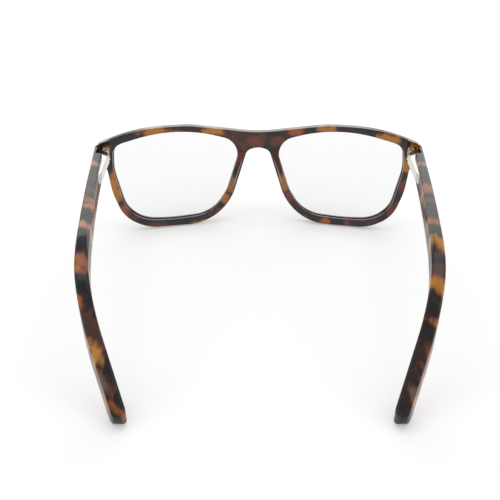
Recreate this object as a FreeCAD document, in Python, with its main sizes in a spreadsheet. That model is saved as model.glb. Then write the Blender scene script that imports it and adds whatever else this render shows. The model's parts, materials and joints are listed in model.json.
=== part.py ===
import FreeCAD, Part
import math
import os

# Full-rim acetate eyeglasses with sprung hinges, in millimetres.
# +Y is where the wearer looks, +X the wearer's right, +Z up. The pieces are first drawn about
# the bridge (y = 0 at its rear face, z = 0 at the foot of the rims) and then moved together, so
# that the origin lies on the table below the middle of the open frame.

Vector = FreeCAD.Vector
doc = FreeCAD.newDocument("Eyeglasses")
sheet = doc.addObject("Spreadsheet::Sheet", "Dimensions")

dimensions = {
    "front_thickness": 4.8,
    "wrap_radius": 181.0,           # rear face of the front, seen from above
    "lean_angle": 7.0,              # top of the front tips forward
    "lean_height": 22.0,            # height of the line that the front leans about
    "rim_edge_radius": 0.7,         # front edges of the rims
    "rear_edge_radius": 0.35,
    "lens_thickness": 1.6,
    "lens_depth": 1.5,              # from the rim's rear face to the lens's rear face
    "groove_depth": 0.8,
    "lens_bevel": 0.35,
    "hinge_wall": 11.35,            # rear face of the end-piece behind the hinge
    "butt_wall": 13.4,              # rear face of the end-piece that the temple closes on
    "pivot_side": 67.2,
    "pivot_back": 12.7,
    "hinge_top": 41.5,
    "hinge_height": 4.2,
    "knuckle_radius": 1.3,
    "knuckle_gap": 0.08,
    "screw_radius": 0.7,
    "screw_clearance": 0.05,
    "screw_head_radius": 1.05,
    "screw_head_height": 0.45,
    "plate_thickness": 1.1,
    "anchor_radius": 0.55,
    "anchor_length": 3.6,
    "slide_angle": 4.2,             # the spring slide's line, turned in from straight back
    "rod_radius": 0.4,
    "nut_radius": 0.8,
    "nut_length": 1.5,
    "chamber_radius": 0.85,
    "spring_wire_radius": 0.11,
    "spring_radius": 0.62,
    "spring_turns": 18.0,
    "temple_gap": 0.08,
    "temple_edge_radius": 1.1,
    "housing_edge_radius": 0.35,
    "core_radius": 0.65,
    "to_origin_back": 63.97,        # from the bridge to the middle of the whole frame
    "to_table": 0.13,               # raises the whole frame so that the rims stand on z = 0
}

for row, (name, value) in enumerate(dimensions.items(), start=1):
    sheet.set("A%d" % row, name)
    sheet.set("B%d" % row, str(value))
    sheet.setAlias("B%d" % row, name)
doc.recompute()


def dim(name):
    return float(sheet.get(name))


def bind(feature, **cells):
    # Tie properties of a feature to formulas over the sheet's cells.
    for prop, formula in cells.items():
        for name in sorted(dimensions, key=len, reverse=True):
            formula = formula.replace("<%s>" % name, "Dimensions.%s" % name)
        feature.setExpression(prop, formula)
    return feature


# ---------------------------------------------------------------- outlines and paths

def rounded_loop(corners):
    # Closed outline of lines and tangent arcs. Each corner is (x, y, radius).
    ends = []
    count = len(corners)
    for i, (x, y, radius) in enumerate(corners):
        here = Vector(x, y, 0)
        before = Vector(*corners[i - 1][:2], 0) - here
        after = Vector(*corners[(i + 1) % count][:2], 0) - here
        half = before.getAngle(after) / 2
        before.normalize()
        after.normalize()
        reach = radius / math.tan(half)
        middle = (before + after).normalize()
        nearest = here + middle * (radius / math.sin(half) - radius)
        ends.append((here + before * reach, nearest, here + after * reach, radius))
    curves = []
    for i, (start, nearest, end, radius) in enumerate(ends):
        if radius > 0:
            curves.append(Part.Arc(start, nearest, end))
        following = ends[(i + 1) % count][0]
        if (following - end).Length > 1e-6:
            curves.append(Part.LineSegment(end, following))
    return curves


def moved_out(corners, step):
    # The same anticlockwise or clockwise convex outline, moved outwards by step.
    centre = Vector(sum(c[0] for c in corners), sum(c[1] for c in corners), 0) * (1 / len(corners))
    lines = []
    for i, corner in enumerate(corners):
        start = Vector(*corner[:2], 0)
        along = Vector(*corners[(i + 1) % len(corners)][:2], 0) - start
        out = Vector(along.y, -along.x, 0).normalize()
        if out.dot(start - centre) < 0:
            out = out * -1
        lines.append((start + out * step, along.normalize()))
    moved = []
    for i, corner in enumerate(corners):
        here, along = lines[i]
        other, other_along = lines[i - 1]
        cross = along.x * other_along.y - along.y * other_along.x
        gap = other - here
        reach = (gap.x * other_along.y - gap.y * other_along.x) / cross
        point = here + along * reach
        moved.append((point.x, point.y, corner[2] + step))
    return moved


def mirrored(corners):
    return [(-x, y, radius) for x, y, radius in corners]


def box_loop(low_x, high_x, low_y, high_y):
    return [(low_x, low_y, 0), (high_x, low_y, 0), (high_x, high_y, 0), (low_x, high_y, 0)]


def tangent_wire(points, radius):
    # Open path of straight runs joined by tangent arcs of one radius.
    edges = []
    start = points[0]
    for before, here, after in zip(points, points[1:], points[2:]):
        back = (before - here).normalize()
        on = (after - here).normalize()
        half = back.getAngle(on) / 2
        reach = radius / math.tan(half)
        middle = (back + on).normalize()
        nearest = here + middle * (radius / math.sin(half) - radius)
        edges.append(Part.LineSegment(start, here + back * reach).toShape())
        edges.append(Part.Arc(here + back * reach, nearest, here + on * reach).toShape())
        start = here + on * reach
    edges.append(Part.LineSegment(start, points[-1]).toShape())
    return Part.Wire(edges)


# ---------------------------------------------------------------- PartDesign helpers

def sketch_on(body, role, name, loops, offset=0.0):
    sketch = body.newObject("Sketcher::SketchObject", name)
    plane = [f for f in body.Origin.OriginFeatures if f.Role == role][0]
    sketch.AttachmentSupport = [(plane, "")]
    sketch.MapMode = "FlatFace"
    sketch.AttachmentOffset = FreeCAD.Placement(Vector(0, 0, offset), FreeCAD.Rotation())
    for loop in loops:
        for curve in loop:
            sketch.addGeometry(curve)
    return sketch


def pad(body, sketch, length):
    feature = body.newObject("PartDesign::Pad", sketch.Name + "_pad")
    feature.Profile = sketch
    feature.Length = length
    doc.recompute()
    return feature


def cut_out(body, sketch, length):
    # Pocket to both sides of the sketch; it has to take material away.
    before = body.Shape.Volume
    feature = body.newObject("PartDesign::Pocket", sketch.Name + "_pocket")
    feature.Profile = sketch
    feature.Length = length
    feature.SideType = "Symmetric"
    doc.recompute()
    if body.Shape.Volume >= before - 1e-3:
        raise RuntimeError(sketch.Name + " cut nothing")
    return feature


def edge_names(shape, wanted):
    return ["Edge%d" % (i + 1) for i, edge in enumerate(shape.Edges) if wanted(edge)]


def round_edges(body, name, cell, wanted, kind="PartDesign::Fillet", prop="Radius"):
    base = body.Tip
    names = edge_names(base.Shape, wanted)
    feature = body.newObject(kind, name)
    feature.Base = (base, names)
    bind(feature, **{prop: "<%s>" % cell})
    doc.recompute()
    return feature


def samples(edge, count=5):
    first, last = edge.ParameterRange
    return [edge.valueAt(first + (last - first) * i / (count - 1)) for i in range(count)]


def is_level(edge):
    heights = [point.z for point in samples(edge)]
    return max(heights) - min(heights) < 0.01


def is_straight_step(edge):
    # An edge that only crosses from one face of a sheet to the other.
    ends = [vertex.Point for vertex in edge.Vertexes]
    return len(ends) == 2 and abs(ends[0].x - ends[1].x) < 0.01 and abs(ends[0].z - ends[1].z) < 0.01


# ---------------------------------------------------------------- Part helpers

def block(name, frame, low, high):
    feature = doc.addObject("Part::Box", name)
    feature.Length = high[0] - low[0]
    feature.Width = high[1] - low[1]
    feature.Height = high[2] - low[2]
    feature.Placement = frame * FreeCAD.Placement(Vector(*low), FreeCAD.Rotation())
    return feature


def standing(name, frame, radius, centre, height):
    # Cylinder along Z; radius is a formula over the sheet's cells.
    feature = doc.addObject("Part::Cylinder", name)
    bind(feature, Radius=radius)
    feature.Height = height
    feature.Placement = frame * FreeCAD.Placement(Vector(*centre), FreeCAD.Rotation())
    return feature


def lying(name, frame, radius, centre, length):
    # Cylinder from centre along the frame's -Y; radius is a formula over the sheet's cells.
    feature = doc.addObject("Part::Cylinder", name)
    bind(feature, Radius=radius)
    feature.Height = length
    feature.Placement = frame * FreeCAD.Placement(Vector(*centre), backwards)
    return feature


def fused(name, pieces):
    feature = doc.addObject("Part::MultiFuse", name)
    feature.Shapes = pieces
    feature.Refine = True
    return feature


def cut(name, base, tool):
    feature = doc.addObject("Part::Cut", name)
    feature.Base = base
    feature.Tool = tool
    return feature


# ---------------------------------------------------------------- places

no_turn = FreeCAD.Rotation()
backwards = FreeCAD.Rotation(Vector(1, 0, 0), 90)
lean = FreeCAD.Placement(Vector(0, 0, 0), FreeCAD.Rotation(Vector(1, 0, 0), -dim("lean_angle")),
                         Vector(0, 0, dim("lean_height")))
upright = FreeCAD.Placement(Vector(0, dim("to_origin_back"), dim("to_table")), no_turn)
leaning = upright * lean
pivot_x = dim("pivot_side")
pivot_y = -dim("pivot_back")
slide_turn = FreeCAD.Rotation(Vector(0, 0, 1), -dim("slide_angle"))
slide_line = upright * FreeCAD.Placement(Vector(pivot_x, pivot_y, 0), slide_turn)
hinge_top = dim("hinge_top")
hinge_foot = hinge_top - dim("hinge_height")
hinge_middle = (hinge_top + hinge_foot) / 2
knuckle_height = (dim("hinge_height") - 2 * dim("knuckle_gap")) / 3
eye_foot = hinge_foot + knuckle_height + dim("knuckle_gap")
upper_foot = hinge_top - knuckle_height


def leaned_in(y, z):
    # A point of the upright side view, in the leaning front's own side view.
    point = lean.inverse().multVec(Vector(0, y, z))
    return point.y, point.z


# ---------------------------------------------------------------- front

# Half outline of the front, from the middle of the bridge round the rim to the nose arch.
half_front = [
    (0, 43.4, 70), (31.8, 47.5, 35), (56.2, 47.3, 80), (71.4, 41.8, 1.5), (71.4, 33.0, 2.5),
    (67.6, 30.9, 3), (66.3, 19.2, 40), (62.1, 6.2, 16.5), (51.6, -0.1, 19), (23.3, -0.15, 23.0),
    (12.5, 12.1, 25.0), (5.1, 35.6, 3.8), (0, 37.1, 7.3),
]
front_outline = half_front + mirrored(half_front[-2:0:-1])

# Lens opening on the wearer's right.
opening = [
    (36.2, 47.35, 72), (7.4, 39.3, 8.2), (14.9, 15.8, 17), (22.1, 4.3, 16.5),
    (41.4, 2.75, 70), (60.0, 4.5, 15), (65.3, 29.5, 24), (64.5, 40.6, 5.5),
]
beyond = box_loop(-95, 95, -25, 75)
front_height = 60.0
front_low = -6.0
through = 90.0
bay_inner, bay_outer = 65.5, 69.5   # the end-piece is set back between these for the hinge
bay_low = 33.0
lug_low = 28.0                      # below the end-piece; the outline trims it
lug_width = 6.0


def wrap_loop(inside, thickness, reach=78.0):
    # Band between two arcs about the wrap's centre, seen from above.
    centre = Vector(0, -dim("wrap_radius"), 0)
    near = dim("wrap_radius") + inside
    far = near + thickness

    def at(radius, side):
        angle = math.asin(side * reach / radius)
        return centre + Vector(math.sin(angle), math.cos(angle), 0) * radius

    return [
        Part.Arc(at(near, -1), centre + Vector(0, near, 0), at(near, 1)),
        Part.LineSegment(at(near, 1), at(far, 1)),
        Part.Arc(at(far, 1), centre + Vector(0, far, 0), at(far, -1)),
        Part.LineSegment(at(far, -1), at(near, -1)),
    ]


def depth_in_front(point):
    # How far a point lies in front of the front's rear face.
    return math.hypot(point.x, point.y + dim("wrap_radius")) - dim("wrap_radius")


def side_of_wall(wall, other_side, low):
    # Side view of what lies between an upright wall behind the front and other_side.
    top = leaned_in(-wall, 55)
    foot = leaned_in(-wall, low)
    return [(top[0], top[1], 0), (foot[0], foot[1], 0), (other_side, foot[1], 0), (other_side, top[1], 0)]


inside_front = -10.6
behind_front = -30.0


def make_front_blank():
    body = doc.addObject("PartDesign::Body", "front_blank")
    pad(body, sketch_on(body, "XY_Plane", "wrap", [wrap_loop(0, dim("front_thickness"))], front_low),
        front_height)
    lug = rounded_loop(side_of_wall(dim("butt_wall"), inside_front, lug_low))
    seat = rounded_loop(side_of_wall(dim("hinge_wall"), inside_front, lug_low))
    bay = rounded_loop(side_of_wall(dim("hinge_wall"), behind_front, bay_low))
    bay_width = bay_outer - bay_inner
    bay_middle = (bay_outer + bay_inner) / 2
    for label, lug_start, seat_start, middle in (
            ("right", bay_outer, bay_inner, bay_middle),
            ("left", -bay_outer - lug_width, -bay_outer, -bay_middle)):
        pad(body, sketch_on(body, "YZ_Plane", label + "_lug", [lug], lug_start), lug_width)
        pad(body, sketch_on(body, "YZ_Plane", label + "_seat", [seat], seat_start), bay_width)
        cut_out(body, sketch_on(body, "YZ_Plane", label + "_bay", [bay], middle), bay_width)
    outline = [rounded_loop(beyond), rounded_loop(front_outline)]
    cut_out(body, sketch_on(body, "XZ_Plane", "outline", outline), through)
    both_openings = [rounded_loop(opening), rounded_loop(mirrored(opening))]
    cut_out(body, sketch_on(body, "XZ_Plane", "lens_openings", both_openings), through)

    def at_depth(edge, depth):
        return all(abs(depth_in_front(point) - depth) < 0.01 for point in samples(edge))

    def clear_of_hinge(edge):
        middle = samples(edge)[2]
        return abs(middle.x) < 65.3 or middle.z < 27

    round_edges(body, "front_edges", "rim_edge_radius", lambda edge: at_depth(edge, dim("front_thickness")))
    round_edges(body, "rear_edges", "rear_edge_radius",
                lambda edge: at_depth(edge, 0) and clear_of_hinge(edge))
    body.Placement = leaning
    return body


def make_lens():
    body = doc.addObject("PartDesign::Body", "right_lens")
    sheet_loop = wrap_loop(dim("lens_depth"), dim("lens_thickness"))
    pad(body, sketch_on(body, "XY_Plane", "lens_sheet", [sheet_loop], front_low), front_height)
    edge_loop = rounded_loop(moved_out(opening, dim("groove_depth")))
    cut_out(body, sketch_on(body, "XZ_Plane", "lens_edge", [rounded_loop(beyond), edge_loop]), through)
    round_edges(body, "lens_bevel_edges", "lens_bevel", lambda edge: not is_straight_step(edge),
                "PartDesign::Chamfer", "Size")
    body.Placement = leaning
    return body


# ---------------------------------------------------------------- nose pads

# Level cross-sections of a pad: height, how far it stands behind the rim.
pad_levels = [(35.2, 0.2), (31.0, 1.9), (26.0, 2.9), (20.5, 2.2), (15.0, 0.2)]
pad_splay = 0.5                     # sideways per millimetre backwards, to sit along the nose
pad_inset = 0.2


def nasal_edge(z):
    return 5.1 + (35.6 - z) * 0.315


def lens_side_edge(z):
    return 7.4 + (39.4 - z) * 0.318


def make_nose_pad(front):
    body = doc.addObject("PartDesign::Body", "nose_pad_blank")
    sketches = []
    for number, (z, stand) in enumerate(pad_levels):
        nose = nasal_edge(z) + pad_inset
        lens = lens_side_edge(z) - pad_inset
        rear = -0.3 - stand
        corner = 0.12 + 0.2 * stand
        loop = [(nose, 0.7, 0.1), (lens, 0.7, 0.1), (lens, 0.75 * rear, corner),
                (nose + pad_splay * stand, rear, corner)]
        sketches.append(sketch_on(body, "XY_Plane", "pad_level_%d" % number, [rounded_loop(loop)], z))
    loft = body.newObject("PartDesign::AdditiveLoft", "pad_loft")
    loft.Profile = sketches[0]
    loft.Sections = sketches[1:]
    body.Placement = leaning
    return cut("right_nose_pad", body, front)


# ---------------------------------------------------------------- hinge metal on the front

plate_inner, plate_outer = 65.75, 69.25
plate_low, plate_high = 36.3, 42.3
anchor_spacing = 3.4


def make_hinge_plate():
    wall = -dim("hinge_wall")
    knuckle = dim("knuckle_radius")
    pieces = [block("plate", upright, (plate_inner, wall, plate_low),
                    (plate_outer, wall + dim("plate_thickness"), plate_high))]
    for label, foot in (("lower", hinge_foot), ("upper", upper_foot)):
        pieces.append(standing(label + "_knuckle", upright, "<knuckle_radius>", (pivot_x, pivot_y, foot),
                               knuckle_height))
        pieces.append(block(label + "_web", upright, (pivot_x - knuckle, pivot_y, foot),
                            (pivot_x + knuckle, wall + 0.1, foot + knuckle_height)))
    for label, step in (("lower", -anchor_spacing / 2), ("upper", anchor_spacing / 2)):
        anchor = lying(label + "_anchor", upright, "<anchor_radius>",
                       (pivot_x, wall + dim("anchor_length") + dim("plate_thickness"), hinge_middle + step),
                       dim("anchor_length") + 0.2)
        pieces.append(anchor)
    bore = standing("plate_bore", upright, "<screw_radius> + 0.02", (pivot_x, pivot_y, hinge_foot - 1),
                    dim("hinge_height") + 2)
    head_seat = standing("head_seat", upright, "<screw_head_radius> + 0.02",
                         (pivot_x, pivot_y, hinge_top - dim("screw_head_height")), 1.0)
    return cut("right_hinge_plate", fused("plate_metal", pieces), fused("plate_holes", [bore, head_seat]))


slot_width = 0.3
slot_depth = 0.25


def make_screw():
    shank = standing("shank", upright, "<screw_radius>", (pivot_x, pivot_y, hinge_foot + 0.1),
                     dim("hinge_height") - 0.2)
    head = standing("screw_head", upright, "<screw_head_radius>",
                    (pivot_x, pivot_y, hinge_top - dim("screw_head_height")), dim("screw_head_height"))
    slot = block("screw_slot", upright, (pivot_x - slot_width / 2, pivot_y - 2, hinge_top - slot_depth),
                 (pivot_x + slot_width / 2, pivot_y + 2, hinge_top + 1))
    return cut("right_hinge_screw", fused("screw_blank", [shank, head]), slot)


# ---------------------------------------------------------------- spring slide

# Places along the slide's line, from the pivot backwards.
bar_end = 6.6
shoulder_front = 6.7
shoulder_back = 8.0
nut_front = 19.0
rod_end = 20.6
chamber_end = 21.3
bar_width = 1.6
bar_clearance = 0.05


def make_slider():
    eye = standing("eye", slide_line, "<knuckle_radius>", (0, 0, eye_foot), knuckle_height)
    bar = block("bar", slide_line, (-bar_width / 2, -bar_end, eye_foot),
                (bar_width / 2, 0, eye_foot + knuckle_height))
    rod = lying("rod", slide_line, "<rod_radius>", (0, -bar_end + 0.5, hinge_middle), rod_end - bar_end + 0.5)
    bore = standing("eye_bore", slide_line, "<screw_radius> + <screw_clearance>", (0, 0, eye_foot - 1),
                    knuckle_height + 2)
    return cut("right_slider", fused("slider_blank", [eye, bar, rod]), bore)


def make_nut():
    nut = lying("nut_blank", slide_line, "<nut_radius>", (0, -nut_front, hinge_middle), dim("nut_length"))
    hole = lying("nut_hole", slide_line, "<rod_radius>", (0, -nut_front + 1, hinge_middle),
                 dim("nut_length") + 2)
    return cut("right_slider_nut", nut, hole)


def make_spring():
    wire = dim("spring_wire_radius")
    length = nut_front - shoulder_back - 2 * wire - 0.06
    helix = doc.addObject("Part::Helix", "coil_line")
    bind(helix, Radius="<spring_radius>", Pitch="%.4f / <spring_turns>" % length)
    helix.Height = length
    ring = doc.addObject("Part::Circle", "coil_wire")
    bind(ring, Radius="<spring_wire_radius>")
    ring.Placement = FreeCAD.Placement(Vector(dim("spring_radius"), 0, 0), backwards)
    coil = doc.addObject("Part::Sweep", "right_spring")
    coil.Sections = [ring]
    coil.Spine = (helix, ["Edge1"])
    coil.Frenet = True
    coil.Solid = True
    start = Vector(0, -shoulder_back - wire - 0.03, hinge_middle)
    coil.Placement = slide_line * FreeCAD.Placement(start, backwards)
    return coil


# Plan of the spring housing: a block in the temple's notch, then a tapering tongue.
housing_plan = [
    (66.0, -14.15, 0.3), (69.72, -14.15, 0.3), (69.72, -20.3, 0.6), (68.15, -20.3, 0.5),
    (66.4, -38.6, 0.6), (64.7, -38.6, 0.4), (64.35, -35.0, 6), (64.9, -16.7, 1.0),
]


def make_housing_blank():
    body = doc.addObject("PartDesign::Body", "housing_blank")
    plan = sketch_on(body, "XY_Plane", "housing_plan", [rounded_loop(housing_plan)], hinge_foot)
    feature = pad(body, plan, dim("hinge_height"))
    bind(feature, Length="<hinge_height>")
    round_edges(body, "housing_edges", "housing_edge_radius", is_level)
    body.Placement = upright
    return body


def make_housing(blank):
    side = bar_width / 2 + bar_clearance
    channel = block("channel", slide_line, (-side, -shoulder_front, eye_foot - bar_clearance),
                    (side, 3, eye_foot + knuckle_height + bar_clearance))
    rod_hole = lying("rod_hole", slide_line, "<rod_radius> + 0.05", (0, 0, hinge_middle), shoulder_back + 1)
    chamber = lying("chamber", slide_line, "<chamber_radius>", (0, -shoulder_back, hinge_middle),
                    chamber_end - shoulder_back)
    return cut("right_spring_housing", blank, fused("housing_cavity", [channel, rod_hole, chamber]))


# ---------------------------------------------------------------- temple

temple_front = -dim("butt_wall") - dim("temple_gap")
top_bend = (-101.0, 40.5, 40)
drop_angle = math.radians(46)
tip_depth = 7.3                     # height of the temple behind the ear, square to its length
tip_corner = 3.2
underside_bend = (-97.8, 33.1, 32)


def temple_side():
    # The drop is as long as it takes for the tip to stand on the table with the rims.
    away = (-math.cos(drop_angle), -math.sin(drop_angle))
    under = (math.sin(drop_angle), -math.cos(drop_angle))
    rounding = tip_corner * (math.cos(drop_angle) + math.sin(drop_angle) - 1)
    height = top_bend[1] - tip_depth * math.cos(drop_angle) + rounding + dim("to_table")
    drop = height / math.sin(drop_angle)
    tip_top = (top_bend[0] + away[0] * drop, top_bend[1] + away[1] * drop)
    tip_foot = (tip_top[0] + under[0] * tip_depth, tip_top[1] + under[1] * tip_depth)
    return [
        (temple_front, 43.65, 0), top_bend, (tip_top[0], tip_top[1], tip_corner),
        (tip_foot[0], tip_foot[1], tip_corner), underside_bend, (temple_front, 34.4, 0),
    ]


temple_plan = [
    (71.4, temple_front, 0), (66.95, -56, 1200), (59.75, -109.1, 70), (45.4, -135.3, 2.2),
    (40.2, -135.3, 2.2), (55.05, -107.5, 64), (63.05, -55.5, 1200), (67.7, temple_front, 0),
]
notch = [(60, -10, 0), (69.72, -10, 0), (69.72, -20.3, 1.0), (60, -20.3, 0)]
blank_start, blank_width = 35.0, 40.0
plan_beyond = box_loop(10, 90, -160, 10)


def make_temple_blank():
    body = doc.addObject("PartDesign::Body", "temple_blank")
    side = sketch_on(body, "YZ_Plane", "temple_side", [rounded_loop(temple_side())], blank_start)
    pad(body, side, blank_width)
    plan = sketch_on(body, "XY_Plane", "temple_plan", [rounded_loop(plan_beyond), rounded_loop(temple_plan)])
    cut_out(body, plan, 2 * through)

    def along_temple(edge):
        step = edge.Vertexes[-1].Point - edge.Vertexes[0].Point
        across = math.hypot(step.y, step.z) < 0.01
        upwards = math.hypot(step.x, step.y) < 0.01
        return not across and not upwards

    round_edges(body, "temple_edges", "temple_edge_radius", along_temple)
    cut_out(body, sketch_on(body, "XY_Plane", "hinge_notch", [rounded_loop(notch)]), 2 * through)
    body.Placement = upright
    return body


# Middle line of the core wire, from behind the spring housing to short of the tip.
core_line = [
    Vector(66.2, -43.5, 38.2), Vector(59.2, -94.5, 36.6), Vector(56.6, -108.5, 26.5),
    Vector(47.8, -125.5, 9.2),
]
core_bend = 22.0


def make_core():
    line = tangent_wire(core_line, core_bend)
    heading = core_line[1] - core_line[0]
    ring = Part.Wire(Part.Circle(core_line[0], heading, dim("core_radius")).toShape())
    core = doc.addObject("Part::Feature", "right_temple_core")
    core.Shape = line.makePipeShell([ring], True, False)
    core.Placement = upright
    return core


# ---------------------------------------------------------------- build

def mirror_to_left(piece):
    feature = doc.addObject("Part::Mirroring", piece.Label.replace("right", "left"))
    feature.Source = piece
    feature.Normal = Vector(1, 0, 0)
    return feature


right_lens = make_lens()
right_plate = make_hinge_plate()
left_lens = mirror_to_left(right_lens)
left_plate = mirror_to_left(right_plate)
front = cut("frame_front", make_front_blank(), fused("front_seats", [right_lens, left_lens, right_plate,
                                                                    left_plate]))
right_pad = make_nose_pad(front)
housing_blank = make_housing_blank()
right_core = make_core()
right_temple = cut("right_temple", make_temple_blank(), fused("temple_seats", [housing_blank, right_core]))
right_only = [right_pad, make_screw(), make_slider(), make_nut(), make_spring(), make_housing(housing_blank),
              right_temple, right_core]
doc.recompute()
pieces = [front, right_lens, left_lens, right_plate, left_plate]
for piece in right_only:
    pieces += [piece, mirror_to_left(piece)]
doc.recompute()

for feature in doc.Objects:
    if "Invalid" in feature.State or "Error" in feature.State:
        raise RuntimeError(feature.Label + " failed")
for piece in pieces:
    if piece.Shape.isNull() or not piece.Shape.isValid() or len(piece.Shape.Solids) != 1:
        raise RuntimeError(piece.Label + " has no valid single solid")

os.makedirs("parts", exist_ok=True)
for piece in pieces:
    piece.Shape.exportStep("parts/%s.step" % piece.Label)
    print("%-22s %8.1f mm3" % (piece.Label, piece.Shape.Volume))

whole = FreeCAD.BoundBox()
for piece in pieces:
    whole.add(piece.Shape.BoundBox)
print("box", whole)
print("pivot", upright.multVec(Vector(pivot_x, pivot_y, hinge_middle)))
print("slide", slide_turn.multVec(Vector(0, -1, 0)))
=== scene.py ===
import bpy
import json
import math
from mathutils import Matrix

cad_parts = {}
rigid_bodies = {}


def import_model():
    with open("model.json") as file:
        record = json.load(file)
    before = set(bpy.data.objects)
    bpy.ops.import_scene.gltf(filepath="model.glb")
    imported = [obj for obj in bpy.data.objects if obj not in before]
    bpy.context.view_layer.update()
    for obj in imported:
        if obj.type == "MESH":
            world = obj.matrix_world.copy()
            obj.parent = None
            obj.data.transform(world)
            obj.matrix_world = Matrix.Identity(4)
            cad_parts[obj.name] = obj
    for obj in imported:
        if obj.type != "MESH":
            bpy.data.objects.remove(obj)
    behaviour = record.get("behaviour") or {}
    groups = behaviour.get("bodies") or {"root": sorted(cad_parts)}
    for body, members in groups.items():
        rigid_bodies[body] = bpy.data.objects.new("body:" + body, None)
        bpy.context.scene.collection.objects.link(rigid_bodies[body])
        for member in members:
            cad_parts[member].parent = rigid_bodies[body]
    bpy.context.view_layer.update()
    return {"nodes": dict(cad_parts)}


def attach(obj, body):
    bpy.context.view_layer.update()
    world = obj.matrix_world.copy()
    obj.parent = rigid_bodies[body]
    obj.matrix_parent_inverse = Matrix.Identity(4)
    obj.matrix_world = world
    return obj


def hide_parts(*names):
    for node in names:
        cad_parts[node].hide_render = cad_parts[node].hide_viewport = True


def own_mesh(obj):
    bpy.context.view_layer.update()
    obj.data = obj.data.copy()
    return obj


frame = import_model()
nodes = frame["nodes"]
print("frame loaded")


# --- small helpers for node trees ---

def addNode(tree, kind, place, **settings):
    node = tree.nodes.new(kind)
    node.location = place
    for name, value in settings.items():
        setattr(node, name, value)
    return node


def link(tree, fromSocket, toSocket):
    tree.links.new(fromSocket, toSocket)


def newGroup(name, inputs, outputs):
    group = bpy.data.node_groups.new(name, "ShaderNodeTree")
    for label, kind, default in inputs:
        socket = group.interface.new_socket(name=label, in_out="INPUT", socket_type=kind)
        if default is not None:
            socket.default_value = default
    for label, kind in outputs:
        group.interface.new_socket(name=label, in_out="OUTPUT", socket_type=kind)
    start = addNode(group, "NodeGroupInput", (-900, 0))
    end = addNode(group, "NodeGroupOutput", (900, 0))
    return group, start, end


def calc(tree, operation, values, place, clamp=False):
    node = addNode(tree, "ShaderNodeMath", place, operation=operation, use_clamp=clamp)
    for i, value in enumerate(values):
        if isinstance(value, (int, float)):
            node.inputs[i].default_value = value
        else:
            link(tree, value, node.inputs[i])
    return node.outputs[0]


def useGroup(tree, group, place, values):
    node = addNode(tree, "ShaderNodeGroup", place, node_tree=group)
    for name, value in values.items():
        if hasattr(value, "links"):
            link(tree, value, node.inputs[name])
        else:
            node.inputs[name].default_value = value
    return node


def newMaterial(name):
    material = bpy.data.materials.new(name)
    material.use_nodes = True
    tree = material.node_tree
    tree.nodes.clear()
    out = addNode(tree, "ShaderNodeOutputMaterial", (900, 0))
    shader = addNode(tree, "ShaderNodeBsdfPrincipled", (600, 0))
    link(tree, shader.outputs[0], out.inputs[0])
    coords = addNode(tree, "ShaderNodeTexCoord", (-1200, 0))
    return material, tree, shader, coords.outputs["Object"]


# --- shared effects ---

# Bends the pattern's coordinates, as the swirled colours of poured acetate are bent.
def buildSwirl():
    group, start, end = newGroup(
        "acetateSwirl",
        [("Place", "NodeSocketVector", None), ("Wide Scale", "NodeSocketFloat", 75.0),
         ("Wide Amount", "NodeSocketFloat", 0.004), ("Fine Scale", "NodeSocketFloat", 380.0),
         ("Fine Amount", "NodeSocketFloat", 0.0009)],
        [("Place", "NodeSocketVector")])
    place = start.outputs["Place"]
    for scaleName, amountName, y in (("Wide Scale", "Wide Amount", 200), ("Fine Scale", "Fine Amount", -200)):
        noise = addNode(group, "ShaderNodeTexNoise", (-650, y))
        noise.inputs["Detail"].default_value = 2.0
        link(group, start.outputs["Place"], noise.inputs["Vector"])
        link(group, start.outputs[scaleName], noise.inputs["Scale"])
        centre = addNode(group, "ShaderNodeVectorMath", (-450, y), operation="SUBTRACT")
        centre.inputs[1].default_value = (0.5, 0.5, 0.5)
        link(group, noise.outputs["Color"], centre.inputs[0])
        scaled = addNode(group, "ShaderNodeVectorMath", (-250, y), operation="SCALE")
        link(group, centre.outputs[0], scaled.inputs[0])
        link(group, start.outputs[amountName], scaled.inputs["Scale"])
        total = addNode(group, "ShaderNodeVectorMath", (0, y), operation="ADD")
        link(group, place, total.inputs[0])
        link(group, scaled.outputs[0], total.inputs[1])
        place = total.outputs[0]
    link(group, place, end.inputs["Place"])
    return group


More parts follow.
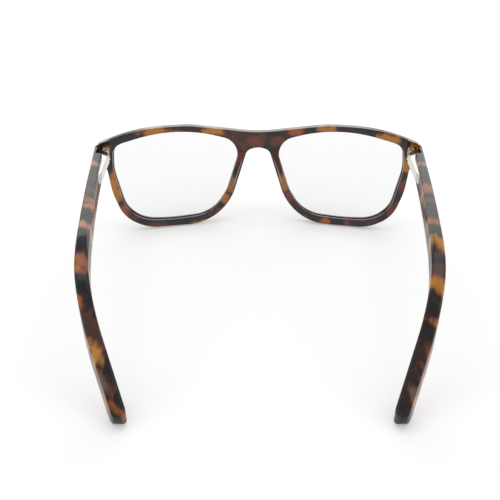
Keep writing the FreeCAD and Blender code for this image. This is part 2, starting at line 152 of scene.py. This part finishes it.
# One cloud of colour in the acetate: a slanted ellipsoid with a torn edge and a darker fringe.
def buildCloud():
    group, start, end = newGroup(
        "acetateCloud",
        [("Place", "NodeSocketVector", None), ("Centre", "NodeSocketVector", (0, 0, 0)),
         ("Size", "NodeSocketVector", (0.01, 0.01, 0.01)), ("Slant", "NodeSocketFloat", 0.5),
         ("Tear", "NodeSocketFloat", 2.0), ("Softness", "NodeSocketFloat", 0.4),
         ("Strength", "NodeSocketFloat", 1.0), ("Colour", "NodeSocketColor", (0.5, 0.3, 0.1, 1)),
         ("Fringe", "NodeSocketColor", (0.1, 0.03, 0.01, 1)),
         ("Under", "NodeSocketColor", (0.02, 0.02, 0.02, 1))],
        [("Colour", "NodeSocketColor")])
    offset = addNode(group, "ShaderNodeVectorMath", (-1300, 100), operation="SUBTRACT")
    link(group, start.outputs["Place"], offset.inputs[0])
    link(group, start.outputs["Centre"], offset.inputs[1])
    apart = addNode(group, "ShaderNodeSeparateXYZ", (-1100, 100))
    link(group, offset.outputs[0], apart.inputs[0])
    slant = (apart.outputs["X"], start.outputs["Slant"], apart.outputs["Y"])
    slanted = calc(group, "MULTIPLY_ADD", slant, (-900, 0))
    joined = addNode(group, "ShaderNodeCombineXYZ", (-700, 100))
    link(group, apart.outputs["X"], joined.inputs["X"])
    link(group, slanted, joined.inputs["Y"])
    link(group, apart.outputs["Z"], joined.inputs["Z"])
    share = addNode(group, "ShaderNodeVectorMath", (-500, 100), operation="DIVIDE")
    link(group, joined.outputs[0], share.inputs[0])
    link(group, start.outputs["Size"], share.inputs[1])
    length = addNode(group, "ShaderNodeVectorMath", (-300, 100), operation="LENGTH")
    link(group, share.outputs[0], length.inputs[0])
    drawn = addNode(group, "ShaderNodeMapping", (-1100, -250))
    drawn.inputs["Rotation"].default_value = (0.5, 0.4, 0.7)
    drawn.inputs["Scale"].default_value = (1.0, 0.35, 0.8)
    link(group, start.outputs["Place"], drawn.inputs["Vector"])
    torn = addNode(group, "ShaderNodeTexNoise", (-900, -250))
    torn.inputs["Scale"].default_value = 330.0
    torn.inputs["Detail"].default_value = 3.0
    torn.inputs["Roughness"].default_value = 0.5
    link(group, drawn.outputs[0], torn.inputs["Vector"])
    centred = calc(group, "SUBTRACT", (torn.outputs[0], 0.5), (-700, -250))
    ragged = calc(group, "MULTIPLY", (centred, start.outputs["Tear"]), (-500, -250))
    reach = calc(group, "ADD", (length.outputs["Value"], ragged), (-100, 0))
    outer = calc(group, "ADD", (1.0, start.outputs["Softness"]), (-300, -450))
    colour = start.outputs["Under"]
    for tone, near, y in (("Fringe", 0.75, 200), ("Colour", 0.45, -200)):
        edge = addNode(group, "ShaderNodeMapRange", (150, y), interpolation_type="SMOOTHSTEP")
        link(group, reach, edge.inputs["Value"])
        edge.inputs["From Min"].default_value = near
        link(group, outer, edge.inputs["From Max"])
        edge.inputs["To Min"].default_value = 1.0
        edge.inputs["To Max"].default_value = 0.0
        mask = calc(group, "MULTIPLY", (edge.outputs[0], start.outputs["Strength"]), (350, y), clamp=True)
        mix = addNode(group, "ShaderNodeMix", (600, y), data_type="RGBA")
        link(group, mask, mix.inputs["Factor"])
        link(group, colour, mix.inputs["A"])
        link(group, start.outputs[tone], mix.inputs["B"])
        colour = mix.outputs["Result"]
        outer = calc(group, "SUBTRACT", (outer, 0.15), (-100, -450))
    link(group, colour, end.inputs["Colour"])
    return group


# Dark mottled ground between the clouds, with small amber flecks.
def buildGround():
    group, start, end = newGroup(
        "acetateGround",
        [("Place", "NodeSocketVector", None), ("Dark", "NodeSocketColor", (0.015, 0.013, 0.012, 1)),
         ("Warm", "NodeSocketColor", (0.06, 0.03, 0.02, 1)),
         ("Fleck", "NodeSocketColor", (0.2, 0.06, 0.02, 1)),
         ("Warm Share", "NodeSocketFloat", 0.5), ("Fleck Share", "NodeSocketFloat", 0.5),
         ("Scale", "NodeSocketFloat", 130.0)],
        [("Colour", "NodeSocketColor")])
    finer = calc(group, "MULTIPLY", (start.outputs["Scale"], 2.1), (-800, -300))
    colour = start.outputs["Dark"]
    layers = (("Warm", start.outputs["Scale"], 0.42, 0.66, 0), ("Fleck", finer, 0.58, 0.72, -300))
    for tone, scale, low, high, y in layers:
        noise = addNode(group, "ShaderNodeTexNoise", (-600, y))
        noise.inputs["Detail"].default_value = 4.0
        noise.inputs["Distortion"].default_value = 0.8
        link(group, start.outputs["Place"], noise.inputs["Vector"])
        link(group, scale, noise.inputs["Scale"])
        spread = addNode(group, "ShaderNodeMapRange", (-350, y), interpolation_type="SMOOTHSTEP")
        spread.inputs["From Min"].default_value = low
        spread.inputs["From Max"].default_value = high
        link(group, noise.outputs[0], spread.inputs["Value"])
        share = start.outputs[tone + " Share"]
        mask = calc(group, "MULTIPLY", (spread.outputs[0], share), (-100, y), clamp=True)
        mix = addNode(group, "ShaderNodeMix", (150, y), data_type="RGBA")
        link(group, mask, mix.inputs["Factor"])
        link(group, colour, mix.inputs["A"])
        link(group, start.outputs[tone], mix.inputs["B"])
        colour = mix.outputs["Result"]
    link(group, colour, end.inputs["Colour"])
    return group


# Hand polish: a faint waviness and hairline scratches, and roughness that varies with them.
def buildPolish():
    group, start, end = newGroup(
        "polish",
        [("Place", "NodeSocketVector", None), ("Roughness", "NodeSocketFloat", 0.15),
         ("Spread", "NodeSocketFloat", 0.08), ("Wave Scale", "NodeSocketFloat", 160.0),
         ("Scratch Scale", "NodeSocketVector", (3000, 200, 3000))],
        [("Roughness", "NodeSocketFloat"), ("Height", "NodeSocketFloat")])
    wave = addNode(group, "ShaderNodeTexNoise", (-600, 200))
    wave.inputs["Detail"].default_value = 1.0
    link(group, start.outputs["Place"], wave.inputs["Vector"])
    link(group, start.outputs["Wave Scale"], wave.inputs["Scale"])
    stretched = addNode(group, "ShaderNodeVectorMath", (-750, -200), operation="MULTIPLY")
    link(group, start.outputs["Place"], stretched.inputs[0])
    link(group, start.outputs["Scratch Scale"], stretched.inputs[1])
    scratch = addNode(group, "ShaderNodeTexNoise", (-550, -200))
    scratch.inputs["Scale"].default_value = 1.0
    scratch.inputs["Detail"].default_value = 3.0
    link(group, stretched.outputs[0], scratch.inputs["Vector"])
    lines = addNode(group, "ShaderNodeMapRange", (-300, -200))
    lines.inputs["From Min"].default_value = 0.55
    lines.inputs["From Max"].default_value = 0.75
    link(group, scratch.outputs[0], lines.inputs["Value"])
    both = calc(group, "ADD", (wave.outputs[0], lines.outputs[0]), (-50, 0))
    height = calc(group, "MULTIPLY_ADD", (lines.outputs[0], 0.12, wave.outputs[0]), (150, -200))
    scaled = calc(group, "MULTIPLY", (both, start.outputs["Spread"]), (150, 100))
    rough = calc(group, "ADD", (scaled, start.outputs["Roughness"]), (350, 100), clamp=True)
    link(group, rough, end.inputs["Roughness"])
    link(group, height, end.inputs["Height"])
    return group


swirl = buildSwirl()
cloud = buildCloud()
ground = buildGround()
polish = buildPolish()
print("shared effects built")


# --- materials ---

tones = {
    "charcoal": (0.0045, 0.0045, 0.0050, 1),
    "brown": (0.036, 0.013, 0.008, 1),
    "plum": (0.055, 0.022, 0.020, 1),
    "rust": (0.150, 0.028, 0.011, 1),
    "orange": (0.380, 0.110, 0.016, 1),
    "gold": (0.520, 0.210, 0.018, 1),
    "honey": (0.560, 0.270, 0.045, 1),
    "peach": (0.560, 0.270, 0.130, 1),
    "olive": (0.300, 0.190, 0.030, 1),
    "mist": (0.105, 0.110, 0.095, 1),
}

# Clouds are (x, y, z in mm, half sizes in mm, tone, strength, softness).
frontClouds = [
    ((-47, 61, 46), (6.0, 9, 2.6), "gold", 0.8, 0.4),
    ((-38, 62, 45), (3.0, 9, 2.0), "orange", 0.6, 0.4),
    ((-20, 65, 45), (5.0, 9, 1.8), "gold", 0.85, 0.4),
    ((-4.5, 65, 42), (8.0, 8, 5), "brown", 0.9, 0.4),
    ((-2.0, 65, 40), (3.4, 8, 2.2), "rust", 0.9, 0.4),
    ((9, 65, 40), (3.5, 8, 2.0), "rust", 0.6, 0.4),
    ((18, 65, 45), (4.0, 9, 2.2), "orange", 0.7, 0.4),
    ((31, 63, 46.5), (4.0, 9, 2.0), "gold", 0.75, 0.4),
    ((58, 58, 45), (4.5, 9, 2.2), "gold", 0.8, 0.4),
    ((-65.5, 53, 23), (3.0, 9, 7), "gold", 0.85, 0.4),
    ((-62, 54, 10), (3.0, 9, 4), "orange", 0.6, 0.4),
    ((66, 53, 34), (3.5, 9, 3.5), "gold", 0.8, 0.4),
    ((65, 54, 24), (3.0, 9, 3.0), "rust", 0.6, 0.4),
    # The next two gold clouds, on the hinge-bay walls, are partly the acetate's gold and partly a painted
    # highlight on the bay's bevel.
    ((69, 51, 41), (4.0, 5, 3), "gold", 0.75, 0.4),
    ((-67, 51, 41), (2.6, 5, 2.6), "gold", 0.8, 0.4),
    ((-70, 52, 44), (5.0, 6, 2.0), "brown", 0.8, 0.4),
    ((-27, 61, 1), (5.0, 9, 2.4), "olive", 0.9, 0.4),
    ((-17, 62, 5), (4.0, 9, 2.6), "rust", 0.7, 0.4),
    ((-48, 58, 1), (4.0, 9, 2.0), "rust", 0.6, 0.4),
    ((33, 59, 1.5), (2.6, 9, 1.8), "orange", 0.75, 0.4),
    ((43, 58, 1.5), (2.0, 9, 1.5), "rust", 0.8, 0.4),
    ((-14, 62, 21), (3.0, 8, 4.5), "orange", 0.6, 0.4),
    ((-16, 62, 13), (3.0, 8, 3.0), "gold", 0.6, 0.4),
    ((12.5, 62, 23), (3.0, 8, 4), "gold", 0.6, 0.4),
    ((14, 62, 14), (3.0, 8, 3), "rust", 0.7, 0.4),
    ((62, 53, 12), (3.4, 9, 4), "rust", 0.6, 0.4),
]
leftClouds = [
    ((-69, 35, 38), (9, 2.6, 9), "peach", 0.8, 0.4),
    ((-68, 13, 38), (9, 2.2, 9), "plum", 0.9, 0.4),
    ((-66, 3.5, 38), (9, 4.2, 8), "orange", 0.95, 0.3),
    ((-63.5, -2, 38), (3.0, 2.4, 8), "peach", 0.7, 0.4),
    ((-64, -14, 38), (9, 3.0, 8), "peach", 0.85, 0.4),
    ((-62, -32.5, 36), (9, 3.4, 9), "orange", 1.0, 0.3),
    ((-60.5, -36, 34), (3.0, 1.8, 9), "gold", 0.7, 0.4),
    ((-58.5, -46.5, 29), (3.4, 2.2, 6), "orange", 1.0, 0.35),
    ((-56, -51, 24), (9, 3.2, 8), "plum", 0.9, 0.4),
    ((-53, -56.5, 17), (4.5, 3.0, 6), "honey", 0.95, 0.35),
    ((-52, -61.5, 12), (4.0, 2.2, 5), "orange", 0.75, 0.4),
    ((-49.5, -63.5, 9), (4.2, 3.2, 6), "mist", 1.0, 0.3),
    ((-47, -68, 5), (6, 1.2, 3), "orange", 0.8, 0.4),
    ((-48.5, -65.5, 6), (1.5, 4, 4), "gold", 0.85, 0.4),
    ((-53.5, -58, 14), (1.2, 5, 6), "brown", 0.8, 0.4),
]
rightClouds = [
    ((69, 33, 38), (9, 2.6, 9), "peach", 0.85, 0.4),
    ((67, 11, 38), (9, 4.2, 8), "orange", 0.9, 0.35),
    ((65, 2, 38), (4.0, 2.4, 8), "rust", 0.7, 0.4),
    ((64, -13, 38), (9, 2.8, 8), "orange", 0.85, 0.4),
    ((63, -26.5, 38), (9, 4.4, 9), "honey", 0.95, 0.3),
    ((60, -37.5, 34), (9, 2.4, 6), "plum", 0.85, 0.4),
    ((58, -42, 31), (9, 3.0, 7), "gold", 0.95, 0.3),
    ((56.5, -51.2, 21), (6, 1.9, 6), "gold", 1.0, 0.3),
    ((53.5, -57.5, 15), (3.4, 3.4, 6), "orange", 0.9, 0.3),
    ((51, -61, 11), (7, 1.9, 5), "gold", 1.0, 0.3),
    ((48, -65, 8), (4.2, 2.6, 5), "mist", 1.0, 0.3),
    ((48.5, -66.5, 6), (1.6, 3.6, 4), "gold", 0.8, 0.4),
]
padClouds = [
    ((-9, 63, 32.6), (5, 6, 4), "rust", 0.7, 0.5),
    ((-13, 63, 19.6), (5, 6, 5), "gold", 0.5, 0.5),
    ((9, 63, 32.6), (5, 6, 4), "brown", 0.8, 0.5),
    ((13, 63, 20.6), (5, 6, 5), "gold", 0.55, 0.5),
]
acetate = {
    "front": {"clouds": frontClouds, "warmShare": 0.8, "fleckShare": 0.55, "scale": 120.0,
              "slant": 0.2, "tear": 1.9, "roughness": 0.09, "shine": 0.5, "edgeShine": 0.3},
    "leftTemple": {"clouds": leftClouds, "warmShare": 0.8, "fleckShare": 0.45, "scale": 130.0,
                   "slant": 0.55, "tear": 1.6, "roughness": 0.10, "shine": 0.5, "edgeShine": 0.04},
    "rightTemple": {"clouds": rightClouds, "warmShare": 0.8, "fleckShare": 0.45, "scale": 145.0,
                    "slant": 0.45, "tear": 1.6, "roughness": 0.10, "shine": 0.5, "edgeShine": 0.04},
    "nosePad": {"clouds": padClouds, "warmShare": 0.8, "fleckShare": 0.4, "scale": 160.0,
                "slant": 0.2, "tear": 1.6, "roughness": 0.12, "shine": 0.5, "edgeShine": 0.3},
}
acetateSurface = {"spread": 0.05, "bump": 0.05, "bumpDepth": 0.0004, "ior": 1.5,
                  "fadeFrom": 0.58, "fadeTo": 0.86}
metalSurface = {"bump": 0.08, "bumpDepth": 0.0001, "stainScale": 700.0, "waveScale": 500.0,
                "scratchScale": (9000, 500, 9000)}


# The faint relief of a polished surface, on the shader's normal.
def addRelief(tree, shader, height, strength, depth):
    bump = addNode(tree, "ShaderNodeBump", (350, -300))
    bump.inputs["Strength"].default_value = strength
    bump.inputs["Distance"].default_value = depth
    link(tree, height, bump.inputs["Height"])
    link(tree, bump.outputs[0], shader.inputs["Normal"])


def makeAcetate(name, look):
    material, tree, shader, place = newMaterial(name + "Acetate")
    bent = useGroup(tree, swirl, (-1000, 0), {"Place": place}).outputs[0]
    base = useGroup(tree, ground, (-800, -200), {
        "Place": bent, "Dark": tones["charcoal"], "Warm": tones["brown"], "Fleck": tones["rust"],
        "Warm Share": look["warmShare"], "Fleck Share": look["fleckShare"], "Scale": look["scale"]})
    colour = base.outputs[0]
    for i, (centre, size, tone, strength, softness) in enumerate(look["clouds"]):
        node = useGroup(tree, cloud, (-800 + 90 * i, -500), {
            "Place": bent, "Under": colour, "Colour": tones[tone], "Fringe": tones["rust"],
            "Strength": strength, "Softness": softness, "Slant": look["slant"], "Tear": look["tear"],
            "Centre": [c / 1000 for c in centre], "Size": [s / 1000 for s in size]})
        colour = node.outputs[0]
    link(tree, colour, shader.inputs["Base Color"])
    surface = useGroup(tree, polish, (100, -200), {
        "Place": place, "Roughness": look["roughness"], "Spread": acetateSurface["spread"]})
    link(tree, surface.outputs["Roughness"], shader.inputs["Roughness"])
    addRelief(tree, shader, surface.outputs["Height"], acetateSurface["bump"], acetateSurface["bumpDepth"])
    shader.inputs["IOR"].default_value = acetateSurface["ior"]
    # The gloss fades on faces seen edge-on, from look["shine"] to look["edgeShine"].
    facing = addNode(tree, "ShaderNodeLayerWeight", (0, 400))
    facing.inputs["Blend"].default_value = 0.5
    shine = addNode(tree, "ShaderNodeMapRange", (300, 400), interpolation_type="SMOOTHSTEP")
    link(tree, facing.outputs["Facing"], shine.inputs["Value"])
    shine.inputs["From Min"].default_value = acetateSurface["fadeFrom"]
    shine.inputs["From Max"].default_value = acetateSurface["fadeTo"]
    shine.inputs["To Min"].default_value = look["shine"]
    shine.inputs["To Max"].default_value = look["edgeShine"]
    link(tree, shine.outputs[0], shader.inputs["Specular IOR Level"])
    return material


metals = {
    "hinge": {"colour": (0.80, 0.78, 0.74, 1), "tint": (0.62, 0.58, 0.52, 1),
              "roughness": 0.07, "spread": 0.10},
    "screw": {"colour": (0.60, 0.58, 0.55, 1), "tint": (0.35, 0.32, 0.29, 1),
              "roughness": 0.20, "spread": 0.15},
    "spring": {"colour": (0.52, 0.52, 0.53, 1), "tint": (0.30, 0.29, 0.29, 1),
               "roughness": 0.25, "spread": 0.15},
    "core": {"colour": (0.58, 0.57, 0.55, 1), "tint": (0.40, 0.38, 0.35, 1),
             "roughness": 0.28, "spread": 0.15},
}


def makeMetal(name, look):
    material, tree, shader, place = newMaterial(name + "Metal")
    stain = addNode(tree, "ShaderNodeTexNoise", (-700, 200))
    stain.inputs["Scale"].default_value = metalSurface["stainScale"]
    stain.inputs["Detail"].default_value = 4.0
    link(tree, place, stain.inputs["Vector"])
    mix = addNode(tree, "ShaderNodeMix", (-400, 200), data_type="RGBA")
    link(tree, stain.outputs[0], mix.inputs["Factor"])
    mix.inputs["A"].default_value = look["colour"]
    mix.inputs["B"].default_value = look["tint"]
    link(tree, mix.outputs["Result"], shader.inputs["Base Color"])
    surface = useGroup(tree, polish, (-400, -200), {
        "Place": place, "Roughness": look["roughness"], "Spread": look["spread"],
        "Wave Scale": metalSurface["waveScale"], "Scratch Scale": metalSurface["scratchScale"]})
    link(tree, surface.outputs["Roughness"], shader.inputs["Roughness"])
    addRelief(tree, shader, surface.outputs["Height"], metalSurface["bump"], metalSurface["bumpDepth"])
    shader.inputs["Metallic"].default_value = 1.0
    return material


lensLook = {"colour": (0.20, 0.21, 0.22, 1), "clear": 0.042, "edge": 0.25, "edgeBlend": 0.35,
            "roughness": 0.02, "spread": 0.02, "waveScale": 60.0, "ior": 1.5}


def makeLens():
    material, tree, shader, place = newMaterial("clearLens")
    shader.inputs["Base Color"].default_value = lensLook["colour"]
    surface = useGroup(tree, polish, (-400, -200), {
        "Place": place, "Roughness": lensLook["roughness"], "Spread": lensLook["spread"],
        "Wave Scale": lensLook["waveScale"]})
    link(tree, surface.outputs["Roughness"], shader.inputs["Roughness"])
    edge = addNode(tree, "ShaderNodeLayerWeight", (-400, 200))
    edge.inputs["Blend"].default_value = lensLook["edgeBlend"]
    share = (edge.outputs["Fresnel"], lensLook["edge"], lensLook["clear"])
    alpha = calc(tree, "MULTIPLY_ADD", share, (-100, 200), clamp=True)
    link(tree, alpha, shader.inputs["Alpha"])
    shader.inputs["IOR"].default_value = lensLook["ior"]
    return material


metal = {name: makeMetal(name, look) for name, look in metals.items()}
lens = makeLens()
padAcetate = makeAcetate("nosePad", acetate["nosePad"])
print("materials made")


# --- pieces ---

def dress(piece, material):
    piece.data.materials.clear()
    piece.data.materials.append(material)


seam = {"weld": 0.000002, "smoothAngle": 32, "lensGap": 0.00003}


# A CAD node's shape with its seams welded, so that flat faces shade flat and rounded edges shade smooth.
def weldedCopy(name, body, material, shrink=0.0):
    bpy.ops.object.select_all(action="DESELECT")
    nodes[name].select_set(True)
    bpy.context.view_layer.objects.active = nodes[name]
    bpy.ops.object.duplicate(linked=False)
    piece = bpy.context.object
    bpy.ops.object.parent_clear(type="CLEAR_KEEP_TRANSFORM")
    for key in list(piece.keys()):
        del piece[key]
    piece.name = name + "_finish"
    bpy.ops.object.mode_set(mode="EDIT")
    bpy.ops.mesh.select_all(action="SELECT")
    bpy.ops.mesh.remove_doubles(threshold=seam["weld"])
    bpy.ops.mesh.normals_make_consistent(inside=False)
    if shrink:
        bpy.ops.transform.shrink_fatten(value=-shrink)
    bpy.ops.object.mode_set(mode="OBJECT")
    bpy.ops.mesh.customdata_custom_splitnormals_clear()
    bpy.ops.object.shade_smooth_by_angle(angle=math.radians(seam["smoothAngle"]))
    bpy.ops.object.modifier_add(type="WEIGHTED_NORMAL")
    piece.modifiers[0].keep_sharp = True
    bpy.ops.object.modifier_apply(modifier=piece.modifiers[0].name)
    dress(piece, material)
    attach(piece, body)
    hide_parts(name)
    return piece


weldedCopy("frame_front", "front", makeAcetate("front", acetate["front"]))
for side, away in (("left", -1), ("right", 1)):
    templeAcetate = makeAcetate(side + "Temple", acetate[side + "Temple"])
    weldedCopy(side + "_temple", side + "_temple", templeAcetate)
    weldedCopy(side + "_nose_pad", "front", padAcetate)
    weldedCopy(side + "_lens", "front", lens, shrink=seam["lensGap"])
    weldedCopy(side + "_hinge_plate", "front", metal["hinge"])
    weldedCopy(side + "_spring_housing", side + "_temple", metal["hinge"])
    weldedCopy(side + "_slider", side + "_slider", metal["hinge"])
    weldedCopy(side + "_hinge_screw", "front", metal["screw"])
    dress(nodes[side + "_slider_nut"], metal["screw"])
    spring = weldedCopy(side + "_spring", side + "_slider", metal["spring"])
    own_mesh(spring)
    dress(nodes[side + "_temple_core"], metal["core"])
print("pieces dressed")


# --- floor, light and camera ---

stageLook = {"floorSize": 6.0, "floorColour": (0.9, 0.9, 0.9, 1), "floorRoughness": 0.9, "floorSpecular": 0.1,
             "floorGlow": 0.31, "world": 0.55}

# Lamps are (place, aim, size in m, power in W).
lamps = {
    "skyPanel": ((0, 0.1, 0.8), (0, 0, 0), (0.9, 0.5), 1.2),
    "backPanel": ((0, 1.1, 0.45), (0, 0, 0.03), (1.6, 0.7), 4.0),
    "leftPanel": ((-0.8, -0.3, 0.5), (0, 0, 0.02), (0.5, 0.5), 0.5),
    "rightPanel": ((0.8, -0.3, 0.5), (0, 0, 0.02), (0.5, 0.5), 0.5),
}


def makeFloor():
    bpy.ops.object.select_all(action="DESELECT")
    bpy.ops.mesh.primitive_plane_add(size=stageLook["floorSize"], location=(0, 0, 0))
    floor = bpy.context.object
    floor.name = "paleFloor"
    material, _, shader, _ = newMaterial("paleFloor")
    shader.inputs["Base Color"].default_value = stageLook["floorColour"]
    shader.inputs["Roughness"].default_value = stageLook["floorRoughness"]
    shader.inputs["Specular IOR Level"].default_value = stageLook["floorSpecular"]
    shader.inputs["Emission Color"].default_value = (1, 1, 1, 1)
    shader.inputs["Emission Strength"].default_value = stageLook["floorGlow"]
    floor.data.materials.append(material)


def addLight(name, place, aim, size, power):
    light = bpy.data.lights.new(name, "AREA")
    light.shape = "RECTANGLE"
    light.size, light.size_y = size
    light.energy = power
    lamp = bpy.data.objects.new(name, light)
    bpy.context.scene.collection.objects.link(lamp)
    lamp.location = place
    direction = [aim[i] - place[i] for i in range(3)]
    flat = math.hypot(direction[0], direction[1])
    lamp.rotation_euler = (math.atan2(flat, -direction[2]), 0, math.atan2(-direction[0], direction[1]))


makeFloor()
for name, (place, aim, size, power) in lamps.items():
    addLight(name, place, aim, size, power)

world = bpy.data.worlds.new("studio")
bpy.context.scene.world = world
world.use_nodes = True
background = world.node_tree.nodes["Background"]
background.inputs["Color"].default_value = (1, 1, 1, 1)
background.inputs["Strength"].default_value = stageLook["world"]

cameraLook = {"place": (-0.0020, -0.21413, 0.15307), "tilt": 58.5, "lens": 46.8, "shift": -0.0077,
              "sensor": 36.0, "nearest": 0.01}
cameraData = bpy.data.cameras.new("camera")
cameraData.lens = cameraLook["lens"]
cameraData.sensor_width = cameraLook["sensor"]
cameraData.shift_x = cameraLook["shift"]
cameraData.clip_start = cameraLook["nearest"]
camera = bpy.data.objects.new("camera", cameraData)
bpy.context.scene.collection.objects.link(camera)
camera.location = cameraLook["place"]
camera.rotation_euler = (math.radians(cameraLook["tilt"]), 0, 0)
bpy.context.scene.camera = camera
bpy.context.scene.view_settings.view_transform = "Standard"
print("stage set")
